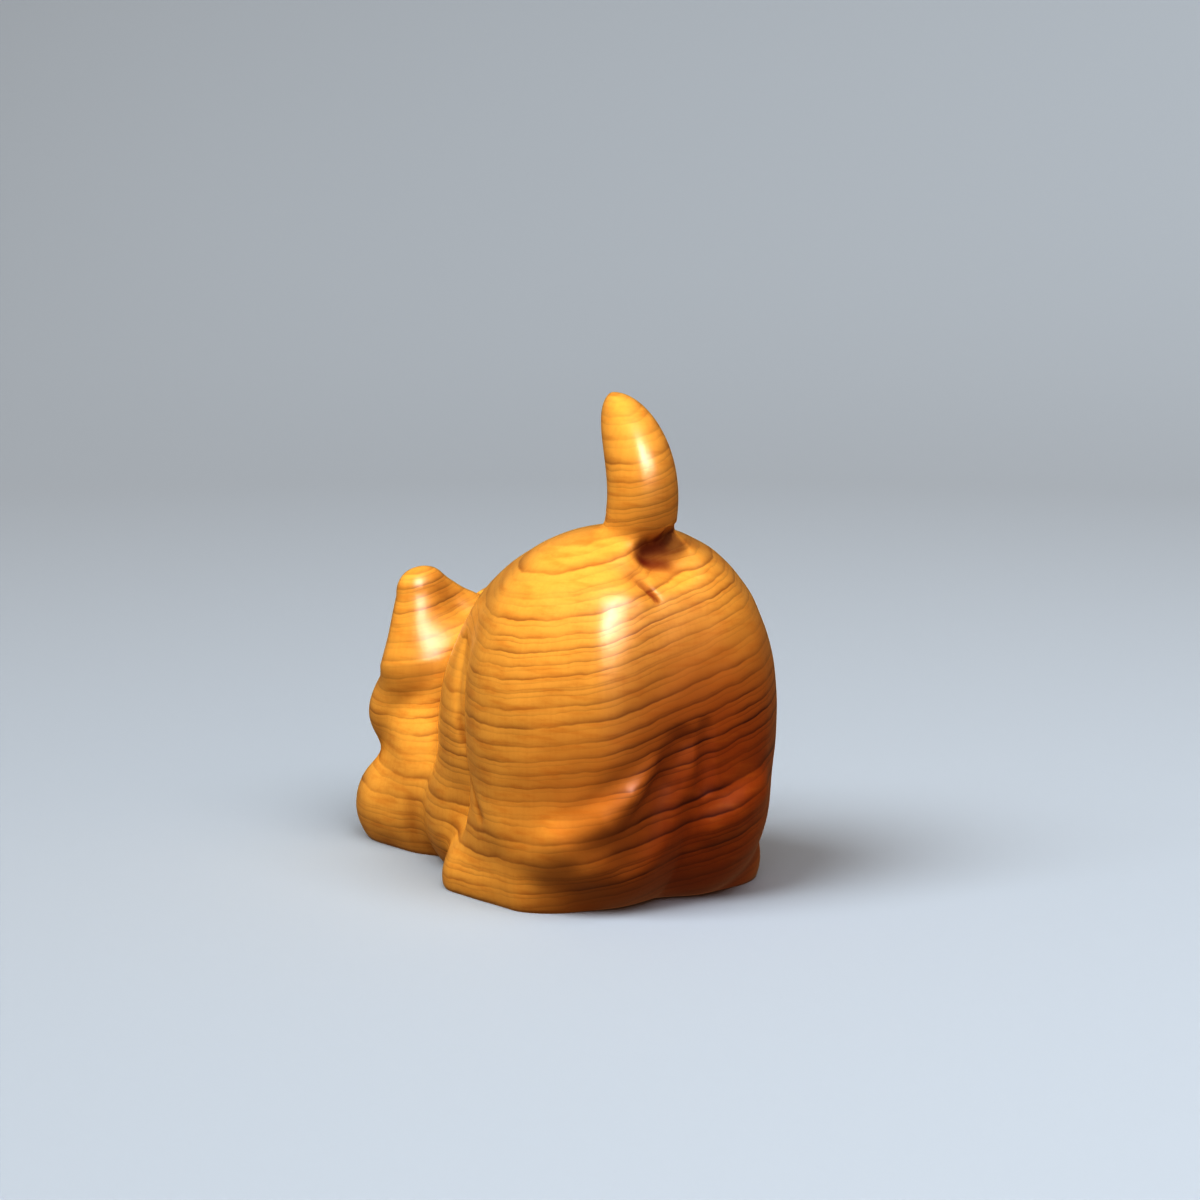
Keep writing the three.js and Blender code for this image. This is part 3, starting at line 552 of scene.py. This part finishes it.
def skin(field):
    """Corners and quads of a field's surface: one in each crossed cell, one on each crossed edge."""
    axes = [np.arange(low, high, FINE_STEP) for low, high in zip(*REACH)]
    crossed = crossings(sampled(field, axes))
    touched = np.concatenate([cells.ravel() for _, cells in crossed])
    keys, index = np.unique(touched, return_inverse=True)
    spots = np.concatenate([np.tile(spots, (len(AROUND), 1)) for spots, _ in crossed])
    count = np.bincount(index)
    centres = np.stack([np.bincount(index, weights=spots[:, n]) / count for n in range(3)], axis=1)
    points = settled(field, centres * FINE_STEP + REACH[0])
    quads = np.concatenate([np.searchsorted(keys, cells).T for _, cells in crossed])
    return points, quads


def circle(radius, height, angles):
    """Points of a level circle round the Z axis."""
    flat = radius * np.cos(angles), radius * np.sin(angles)
    return np.stack([*flat, np.full(len(angles), height)], axis=1)


def tail_section(u, angles):
    """Points round the tail at a share of the way from the joint to its tip."""
    root_handle = JOINT + TAIL_AXIS * (TAIL.root_handle + FIT_GAP)
    tip_handle = TAIL_END + (0, TAIL_TIP.handle_y, -TAIL_TIP.handle_z)
    controls = [JOINT, root_handle, tip_handle, TAIL_END]
    steps = [b - a for a, b in zip(controls, controls[1:])]
    v = 1 - u
    centre = sum(w * p for w, p in zip((v**3, 3 * v * v * u, 3 * v * u * u, u**3), controls))
    along = sum(w * p for w, p in zip((v * v, 2 * v * u, u * u), steps))
    side = np.array((1.0, 0, 0))
    behind = np.cross(along / np.linalg.norm(along), side)
    turned = angles - math.radians(TAIL_TIP.crest_turn)
    radius = TAIL.radius * (1 - u**TAIL.fullness) ** TAIL_TIP.sharpness
    power = 2 * (1 + (TAIL_TIP.crest_power - 1) * u)
    crest = np.abs(np.cos(turned)) ** power + np.abs(np.sin(turned)) ** power
    reach = radius * crest ** (1 / power)
    return centre + np.outer(np.sin(angles) * reach, side) + np.outer(np.cos(angles) * reach, behind)


def tail_mesh():
    """Sections along a curve that leaves the joint square and curls forwards at its tip."""
    angles = 2 * np.pi * np.arange(TAIL_SIDES) / TAIL_SIDES
    shares = [math.sin(math.pi / 2 * ring / TAIL_RINGS) for ring in range(TAIL_RINGS)]
    sections = [tail_section(u, angles) for u in shares]
    return np.concatenate([[JOINT], *sections, [TAIL_END]]), lofted(TAIL_RINGS, TAIL_SIDES)


def lofted(rings, sides):
    """Faces of a closed loft, whose points are a first one, rings of them and a last one."""
    def at(ring, n):
        return 1 + ring * sides + n % sides

    faces = []
    for n in range(sides):
        faces.append((0, at(0, n), at(0, n + 1)))
        faces.extend((at(r, n), at(r + 1, n), at(r + 1, n + 1), at(r, n + 1)) for r in range(rings - 1))
        faces.append((at(rings - 1, n), 1 + rings * sides, at(rings - 1, n + 1)))
    return faces


def lathed(profile):
    """Points and faces of (radius, height) points turned about +Z, from one on the axis to another."""
    angles = -2 * np.pi * np.arange(LATHE_SIDES) / LATHE_SIDES
    rings = [circle(radius, height, angles) for radius, height in profile[1:-1]]
    first, last = (0, 0, profile[0][1]), (0, 0, profile[-1][1])
    return np.concatenate([[first], *rings, [last]]), lofted(len(rings), LATHE_SIDES)


# Where the cat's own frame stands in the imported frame: the dowel's middle is a known place in both
dowel_low, dowel_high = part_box("tail_dowel")
DOWEL_MIDDLE = JOINT + TAIL_AXIS * FIT_GAP / 2
SHIFT = np.array((dowel_low + dowel_high) / 2) / MM - DOWEL_MIDDLE


def smooth_object(name, points, faces, material):
    """A smooth mesh in the scene, from points in metres."""
    mesh = bpy.data.meshes.new(name)
    mesh.from_pydata(points.tolist(), [], [list(map(int, face)) for face in faces])
    mesh.polygons.foreach_set("use_smooth", [True] * len(mesh.polygons))
    mesh.materials.append(material)
    placed = bpy.data.objects.new(name, mesh)
    bpy.context.scene.collection.objects.link(placed)
    return placed


def made(name, points, faces, stands_for, material):
    """A smooth mesh piece on the cat's body, from points in the cat's own frame."""
    piece = smooth_object(name, (points + SHIFT) * MM, faces, material)
    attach(piece, "root")
    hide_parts(stands_for)
    return piece


def cut_flat(mesh, place, direction):
    """Cut a mesh off beyond a plane, and close it with a flat face that has a crisp rim."""
    work = bmesh.new()
    work.from_mesh(mesh)
    parts = [*work.verts, *work.edges, *work.faces]
    plane = {"plane_co": Vector((np.asarray(place) + SHIFT) * MM), "plane_no": Vector(direction)}
    cut = bmesh.ops.bisect_plane(work, geom=parts, clear_outer=True, **plane)
    rim = [part for part in cut["geom_cut"] if isinstance(part, bmesh.types.BMEdge)]
    for face in bmesh.ops.edgeloop_fill(work, edges=rim)["faces"]:
        face.smooth = False
    for edge in rim:
        edge.smooth = False
    work.to_mesh(mesh)
    work.free()


def hollows(field, points):
    """How deep each point of a field's surface lies in a hollow, from 0 to 1."""
    normals = slopes(field, points)
    start = field(*points.T)
    depth = np.zeros(len(points))
    for reach in HOLLOW_SHADE.reaches:
        out = field(*(points + normals * reach).T) - start
        depth += np.clip(1 - out / reach, 0, 1) / len(HOLLOW_SHADE.reaches)
    return depth


def painted_shadows(points):
    """How dark the painted shadow makes each point, from 0 to 1."""
    marks = [strength * nearness(line, width)(*points.T) for line, width, strength in PAINTED_SHADOWS]
    return np.maximum.reduce(marks)


def mark_cuts(piece, field):
    """Keep on each corner how deep it lies in a hollow, and how dark its painted shadow is."""
    mesh = piece.data
    points = np.empty(len(mesh.vertices) * 3)
    mesh.vertices.foreach_get("co", points)
    points = points.reshape(-1, 3) / MM - SHIFT
    for name, values in (("hollow", hollows(field, points)), ("stain", painted_shadows(points))):
        mesh.attributes.new(name, "FLOAT", "POINT").data.foreach_set("value", values)


# Finishes

class Finish:
    """A material, with short ways to add nodes to it."""

    def __init__(self, name, **sockets):
        self.material = bpy.data.materials.new(name)
        self.material.use_nodes = True
        self.tree = self.material.node_tree
        self.shader = self.tree.nodes["Principled BSDF"]
        self.surface(**sockets)

    def surface(self, **sockets):
        """Set the surface's sockets to values, or link nodes to them."""
        for socket, value in sockets.items():
            self.put(self.shader.inputs[socket.replace("_", " ")], value)

    def put(self, socket, value):
        if isinstance(value, bpy.types.NodeSocket):
            self.tree.links.new(value, socket)
        else:
            socket.default_value = value

    def add(self, kind, inputs, output=0, **settings):
        node = self.tree.nodes.new("ShaderNode" + kind)
        for setting, value in settings.items():
            setattr(node, setting, value)
        for socket, value in inputs.items():
            self.put(node.inputs[socket], value)
        return node.outputs[output]

    def math(self, operation, *values):
        return self.add("Math", dict(enumerate(values)), operation=operation)

    def vector(self, operation, *values, output=0):
        return self.add("VectorMath", dict(enumerate(values)), output, operation=operation)

    def noise(self, at, scale, detail=2.0):
        return self.add("TexNoise", {"Vector": at, "Scale": scale, "Detail": detail})

    def drift(self, at, scale):
        """Noise that runs either way from 0."""
        return self.math("SUBTRACT", self.noise(at, scale), 0.5)

    def fade(self, value, low, high, start=0.0, end=1.0):
        """Smooth step of a value from low to high, scaled to run from start to end."""
        inputs = {"Value": value, "From Min": low, "From Max": high, "To Min": start, "To Max": end}
        return self.add("MapRange", inputs, interpolation_type="SMOOTHSTEP")

    def mix(self, factor, a, b, blend="MIX"):
        return self.add("Mix", {0: factor, 6: a, 7: b}, 2, data_type="RGBA", blend_type=blend)

    def attribute(self, name):
        return self.add("Attribute", {}, "Fac", attribute_name=name)


def model_millimetres(finish):
    """Places on the cat in its own frame, so that one log runs through the block and the tail."""
    place = finish.add("TexCoord", {}, "Object")
    return finish.vector("MULTIPLY_ADD", place, (1 / MM,) * 3, tuple(-SHIFT))


def ring_lines(finish, phase):
    """One dark line for each whole step of the phase, each of its own strength."""
    part = finish.math("FRACT", phase)
    step = finish.math("FLOOR", phase)
    chance = finish.add("TexWhiteNoise", {"W": step}, "Value", noise_dimensions="1D")
    fall = finish.math("POWER", finish.math("SUBTRACT", 1.0, part), RINGS.fall)
    dark = finish.math("MULTIPLY", finish.fade(part, 0.0, RINGS.foot), fall)
    return finish.math("MULTIPLY", dark, finish.fade(chance, 0.0, 1.0, RINGS.weakest, 1.0))


def growth_rings(finish, at):
    """Darkness of the growth rings: wavy sheets that lie nearly flat, each darkest at its foot."""
    bend, wave = finish.drift(at, RINGS.bend_scale), finish.drift(at, RINGS.wave_scale)
    height = finish.vector("DOT_PRODUCT", at, RINGS.normal, output="Value")
    height = finish.math("MULTIPLY_ADD", bend, RINGS.bend, height)
    height = finish.math("MULTIPLY_ADD", wave, RINGS.wave, height)
    phase = finish.math("MULTIPLY_ADD", height, 1 / RINGS.spacing, RINGS.start)
    for swing, rate, turn in RINGS.swings:
        sway = finish.math("SINE", finish.math("MULTIPLY_ADD", height, rate, turn))
        phase = finish.math("MULTIPLY_ADD", sway, swing, phase)
    faint_phase = finish.math("MULTIPLY_ADD", phase, RINGS.faint_rate, RINGS.faint_start)
    faint = finish.math("MULTIPLY", ring_lines(finish, faint_phase), RINGS.faint)
    dark = finish.math("MAXIMUM", ring_lines(finish, phase), faint)
    patch = finish.fade(finish.noise(at, RINGS.patch_scale), *RINGS.patch_onset, RINGS.weakest, 1.0)
    return finish.math("MULTIPLY", dark, patch)


def shade_zone_depth(finish, at):
    """How deep a place lies in the painted shade on the cat's right hind side, low down, from 0 to 1.
    """
    depth = finish.vector("DISTANCE", at, SHADE_ZONE.middle, output="Value")
    drift = finish.drift(at, SHADE_ZONE.drift_scale)
    return finish.fade(finish.math("MULTIPLY_ADD", drift, SHADE_ZONE.drift, depth), SHADE_ZONE.start, SHADE_ZONE.end)


def wood_tone(finish, at, rings, streaks, fine):
    """Colour of the clean wood: darker where shade is painted on the cat's right hind side, streaked
    with fibre and darker on the rings, which are stronger in that painted shade.
    """
    heart = shade_zone_depth(finish, at)
    ripples = finish.noise(finish.vector("MULTIPLY", at, RIPPLE.scale), 1.0)
    tone = finish.mix(heart, WOOD.sap, WOOD.heart)
    for noise, marks in ((streaks, FIBRE), (ripples, RIPPLE), (fine, SPECKLE)):
        shown = finish.fade(noise, *marks.onset, 0.0, marks.strength)
        tone = finish.mix(shown, tone, WOOD.streak)
    strength = finish.fade(heart, 0.0, 1.0, RINGS.in_sap, RINGS.in_heart)
    return finish.mix(finish.math("MULTIPLY", rings, strength), tone, WOOD.ring, "MULTIPLY")


def wood_relief(finish, rings, streaks, fine):
    """Bump of the wood: shallow furrows on the rings, fine fibre and grain."""
    fibre = finish.math("MULTIPLY", streaks, FIBRE.relief)
    height = finish.math("MULTIPLY_ADD", rings, -RINGS.relief, fibre)
    height = finish.math("MULTIPLY_ADD", fine, SPECKLE.relief, height)
    return finish.add("Bump", {"Height": height, "Distance": MM})


def waxed_wood():
    """Wood with a soft wax polish. Shade is painted dark into the hollows and a shadow is painted into
    the cuts, where the polish is also duller.
    """
    finish = Finish("waxed_wood", Specular_IOR_Level=WAX.specular, Coat_Roughness=WAX.coat_roughness)
    at = model_millimetres(finish)
    rings = growth_rings(finish, at)
    streaks = finish.noise(finish.vector("MULTIPLY", at, FIBRE.scale), 1.0, FIBRE.detail)
    fine = finish.noise(at, SPECKLE.scale)
    hollow, stain = finish.attribute("hollow"), finish.attribute("stain")
    tone = wood_tone(finish, at, rings, streaks, fine)
    # Painted shade: the deeper a place lies in a hollow, the darker its colour
    tone = finish.mix(finish.fade(hollow, *HOLLOW_SHADE.onset, 0.0, HOLLOW_SHADE.strength), tone, WOOD.shade)
    # Painted shadow in the undercut, the fold and the creases, laid over the wood's tone
    finish.surface(Base_Color=finish.mix(stain, tone, WOOD.stain))
    in_hollow, shadowed = finish.fade(hollow, *WAX.hollow_onset), finish.fade(stain, *WAX.stain_onset)
    dull = finish.math("MAXIMUM", in_hollow, shadowed)
    patchy = finish.fade(fine, *WAX.patch_onset, WAX.smoothest, WAX.roughest)
    finish.surface(
        Roughness=finish.math("MULTIPLY_ADD", dull, WAX.dull, patchy),
        Coat_Weight=finish.math("MULTIPLY_ADD", dull, -WAX.coat, WAX.coat),
    )
    relief = wood_relief(finish, rings, streaks, fine)
    finish.surface(Normal=relief, Coat_Normal=relief)
    return finish.material


def bare_bamboo():
    """Dowel stock: pale bamboo with long darker strands."""
    finish = Finish("bare_bamboo", Roughness=BAMBOO.roughness)
    at = finish.vector("MULTIPLY", model_millimetres(finish), BAMBOO.scale)
    strands = finish.fade(finish.noise(at, 1.0, BAMBOO.detail), *BAMBOO.onset)
    finish.surface(Base_Color=finish.mix(strands, BAMBOO.pale, BAMBOO.dark))
    return finish.material


def polished_bead():
    """Nearly black polished bead."""
    finish = Finish("polished_bead", Roughness=BEAD.roughness)
    finish.surface(Coat_Weight=BEAD.coat, Coat_Roughness=BEAD.coat_roughness)
    clouds = finish.noise(model_millimetres(finish), BEAD.scale)
    finish.surface(Base_Color=finish.mix(clouds, BEAD.dark, BEAD.brown))
    return finish.material


# The cat

BLOCK = block()
TAIL_ROD = rod(JOINT, JOINT + TAIL_AXIS * TAIL.height, TAIL.radius, TAIL.radius)
WOOD_FINISH = waxed_wood()


def body_piece():
    points, quads = skin(BLOCK)
    piece = made("cat_body", points, quads, "body", WOOD_FINISH)
    cut_flat(piece.data, (0, 0, 0), (0, 0, -1))
    cut_flat(piece.data, JOINT, TAIL_AXIS)
    mark_cuts(piece, join(SEAM, BLOCK, TAIL_ROD))


def tail_piece():
    points, faces = tail_mesh()
    piece = made("cat_tail", points, faces, "tail", WOOD_FINISH)
    cut_flat(piece.data, JOINT + TAIL_AXIS * SEAM, -TAIL_AXIS)
    mark_cuts(piece, BLOCK)


def eye_pieces():
    """Domed beads let into the face, square to it."""
    turns = np.linspace(0, math.pi / 2, EYE_RINGS)
    dome = [(EYE.radius * math.cos(a), EYE.proud * math.sin(a)) for a in turns]
    points, faces = lathed([(0, -EYE.depth), (EYE.radius, -EYE.depth), *dome[:-1], (0, EYE.proud)])
    bead = polished_bead()
    for name, node, side in (("left_eye_bead", "left_eye", 1), ("right_eye_bead", "right_eye", -1)):
        place = land_on(HEAD_FORM, (side * EYE.spread, -FAR, HEAD_Z + EYE.rise), (0, 1, 0))
        out = Vector(slopes(HEAD_FORM, place[None])[0])
        turn = np.array(out.to_track_quat("Z", "Y").to_matrix())
        made(name, points @ turn.T + place, faces, node, bead)


def finish_dowel():
    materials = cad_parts["tail_dowel"].data.materials
    materials.clear()
    materials.append(bare_bamboo())


# Stage, light and camera

def bowl():
    """Points and faces of the floor: flat in the middle, with an edge that curves up into a wall."""
    profile = [(STAGE.floor * n / STAGE.steps, 0) for n in range(1, STAGE.steps)]
    for turn in np.linspace(0, math.pi / 2, STAGE.steps):
        out, up = math.sin(turn), 1 - math.cos(turn)
        profile.append((STAGE.floor + STAGE.curve * out, STAGE.curve * up))
    profile.append((STAGE.floor + STAGE.curve, STAGE.wall))
    angles = 2 * np.pi * np.arange(STAGE.sides) / STAGE.sides
    rings = [circle(radius, height, angles) for radius, height in profile]
    faces = []
    for n in range(STAGE.sides):
        after = (n + 1) % STAGE.sides
        faces.append((0, 1 + n, 1 + after))
        for ring in range(len(profile) - 1):
            inner, outer = 1 + ring * STAGE.sides, 1 + (ring + 1) * STAGE.sides
            faces.append((inner + n, outer + n, outer + after, inner + after))
    return np.concatenate([[(0, 0, 0)], *rings]), faces


def lay_floor():
    """Floor that the camera sees, but that throws no light on the cat and isn't mirrored in it."""
    points, faces = bowl()
    pale = Finish("pale_floor", Base_Color=STAGE.colour, Roughness=STAGE.roughness).material
    floor = smooth_object("floor", points, faces, pale)
    floor.visible_diffuse = False
    floor.visible_glossy = False


def light_room():
    """Even warm light from all sides."""
    world = bpy.data.worlds.new("plain_room")
    world.use_nodes = True
    background = world.node_tree.nodes["Background"]
    background.inputs["Color"].default_value = STAGE.room_colour
    background.inputs["Strength"].default_value = STAGE.room_strength
    bpy.context.scene.world = world


def aimed(name, data, sizes, target):
    """An object that looks at a place on the cat. Its azimuth is 0 behind the cat, 90 on its left."""
    a, e = math.radians(sizes.azimuth), math.radians(sizes.elevation)
    out = Vector((math.sin(a) * math.cos(e), math.cos(a) * math.cos(e), math.sin(e)))
    placed = bpy.data.objects.new(name, data)
    placed.location = Vector((np.array(target) + SHIFT) * MM) + out * sizes.distance
    placed.rotation_euler = out.to_track_quat("Z", "Y").to_euler()
    bpy.context.scene.collection.objects.link(placed)
    return placed


def hang(light, sizes):
    """Hang a light round the cat, which either lights it softly or is mirrored in its polish."""
    lamp = aimed(light.name, light, sizes, STAGE.middle)
    lamp.visible_glossy = sizes.mirrored
    lamp.visible_diffuse = not sizes.mirrored


def key_light():
    light = bpy.data.lights.new("key", "SUN")
    light.energy = KEY.strength
    light.angle = math.radians(KEY.spread)
    hang(light, KEY)


def softbox(sizes):
    light = bpy.data.lights.new(sizes.name, "AREA")
    light.energy = sizes.power
    light.color = sizes.tint
    light.shape = "RECTANGLE"
    light.size = sizes.width
    light.size_y = sizes.height
    hang(light, sizes)


def set_camera():
    lens = bpy.data.cameras.new("camera")
    lens.lens = CAMERA.lens
    lens.clip_start = CAMERA.near
    bpy.context.scene.camera = aimed("camera", lens, CAMERA, CAMERA.target)
    view = bpy.context.scene.view_settings
    view.view_transform = "Standard"
    view.gamma = CAMERA.gamma


body_piece()
tail_piece()
eye_pieces()
finish_dowel()
lay_floor()
light_room()
key_light()
for lamp_sizes in LAMPS:
    softbox(lamp_sizes)
set_camera()
